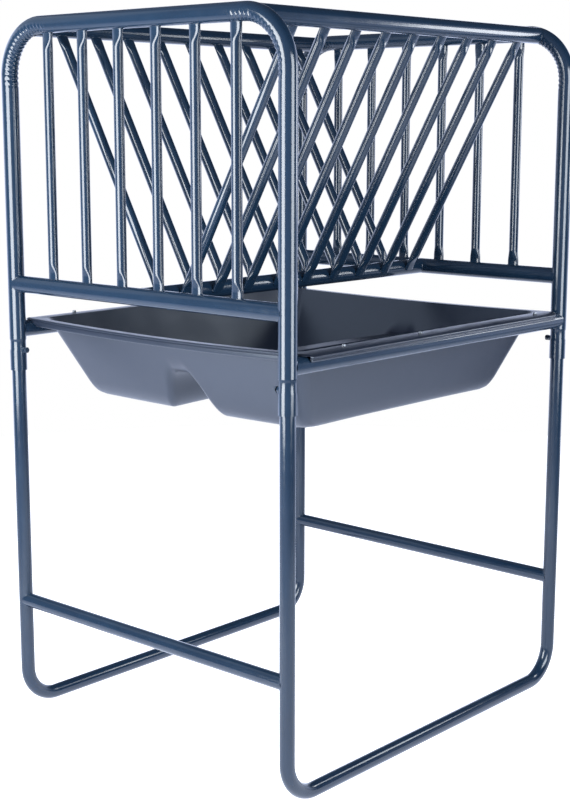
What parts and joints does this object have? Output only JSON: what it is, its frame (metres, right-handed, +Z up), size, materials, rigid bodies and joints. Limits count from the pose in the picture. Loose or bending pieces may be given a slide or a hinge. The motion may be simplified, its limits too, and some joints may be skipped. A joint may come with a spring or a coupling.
{
  "type": "hay feeder",
  "caption": "Free-standing welded tube hay rack with V-shaped bars, a moulded feed tray below and U-shaped leg frames that set the height.",
  "frame": {"origin": "on the floor, at the middle of the base", "axes": "+Z up, +Y along the rack and its leg frames, +X across it"},
  "size_m": [0.95, 1.1094, 1.745],
  "materials": {
    "powder_coat": "gloss",
    "tray_plastic": "satin",
    "screw_steel": "zinc plated",
    "bolt_steel": "painted"
  },
  "bodies": {
    "base": {"left_leg_frame": "powder_coat", "right_leg_frame": "powder_coat", "front_brace": "powder_coat", "rear_brace": "powder_coat"},
    "upper_frame": {"front_hoop": "powder_coat", "rear_hoop": "powder_coat", "front_lower_rail": "powder_coat", "rear_lower_rail": "powder_coat", "front_picket_1": "powder_coat", "front_picket_2": "powder_coat", "front_picket_3": "powder_coat", "front_picket_4": "powder_coat", "front_picket_5": "powder_coat", "front_picket_6": "powder_coat", "rear_picket_1": "powder_coat", "rear_picket_2": "powder_coat", "rear_picket_3": "powder_coat", "rear_picket_4": "powder_coat", "rear_picket_5": "powder_coat", "rear_picket_6": "powder_coat", "left_top_rail": "powder_coat", "right_top_rail": "powder_coat", "left_tray_rail": "powder_coat", "right_tray_rail": "powder_coat", "rack_bottom_rail": "powder_coat", "left_rack_bar_1": "powder_coat", "left_rack_bar_2": "powder_coat", "left_rack_bar_3": "powder_coat", "left_rack_bar_4": "powder_coat", "left_rack_bar_5": "powder_coat", "left_rack_bar_6": "powder_coat", "left_rack_bar_7": "powder_coat", "left_rack_bar_8": "powder_coat", "left_rack_bar_9": "powder_coat", "right_rack_bar_1": "powder_coat", "right_rack_bar_2": "powder_coat", "right_rack_bar_3": "powder_coat", "right_rack_bar_4": "powder_coat", "right_rack_bar_5": "powder_coat", "right_rack_bar_6": "powder_coat", "right_rack_bar_7": "powder_coat", "right_rack_bar_8": "powder_coat", "right_rack_bar_9": "powder_coat", "feed_tray": "tray_plastic", "tray_screws": "screw_steel", "weld_nuts": "powder_coat"},
    "front_left_bolt": {"front_left_set_bolt": "bolt_steel"},
    "front_right_bolt": {"front_right_set_bolt": "bolt_steel"},
    "rear_left_bolt": {"rear_left_set_bolt": "bolt_steel"},
    "rear_right_bolt": {"rear_right_set_bolt": "bolt_steel"}
  },
  "joints": [
    {"name": "height_slide", "type": "slide", "parent": "base", "child": "upper_frame", "axis": [0, 0, 1], "range_m": [-0.4, 0.15]},
    {"name": "front_left_bolt_turn", "type": "hinge", "parent": "upper_frame", "child": "front_left_bolt", "pos_m": [-0.45, -0.534, 0.942], "axis": [1, 0, 0], "range_deg": [0, 1080]},
    {"name": "front_right_bolt_turn", "type": "hinge", "parent": "upper_frame", "child": "front_right_bolt", "pos_m": [0.45, -0.534, 0.942], "axis": [-1, 0, 0], "range_deg": [0, 1080]},
    {"name": "rear_left_bolt_turn", "type": "hinge", "parent": "upper_frame", "child": "rear_left_bolt", "pos_m": [-0.45, 0.534, 0.942], "axis": [1, 0, 0], "range_deg": [0, 1080]},
    {"name": "rear_right_bolt_turn", "type": "hinge", "parent": "upper_frame", "child": "rear_right_bolt", "pos_m": [0.45, 0.534, 0.942], "axis": [-1, 0, 0], "range_deg": [0, 1080]}
  ]
}
